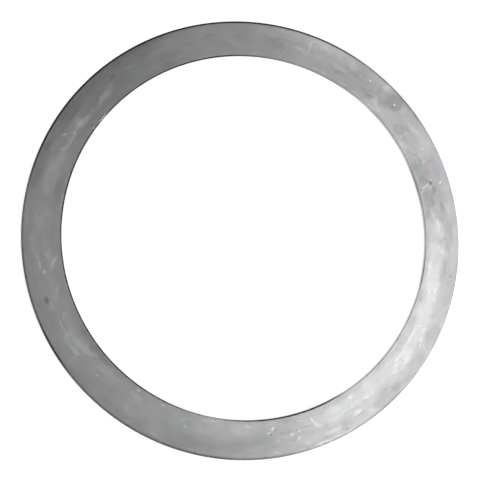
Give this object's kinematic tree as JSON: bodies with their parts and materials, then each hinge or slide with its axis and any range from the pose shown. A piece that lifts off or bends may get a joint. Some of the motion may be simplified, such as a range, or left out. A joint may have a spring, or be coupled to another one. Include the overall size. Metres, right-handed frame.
{
  "type": "shim ring",
  "caption": "Thin flat steel ring with a large bore, slipped between two shoulders to take up end play on a shaft or in a housing.",
  "frame": {"origin": "centre of the ring in the plane of the face it lies on, which is the deburred face", "axes": "+Z along the ring's axis, towards the face whose corners are rolled over"},
  "size_m": [0.12, 0.12, 0.001],
  "materials": {
    "ring_steel": "bright cold-rolled strip with a satin sheen, faint oil stains, fine scratches and dark punched edges"
  },
  "bodies": {
    "root": {"shim_ring": "ring_steel"}
  },
  "joints": []
}
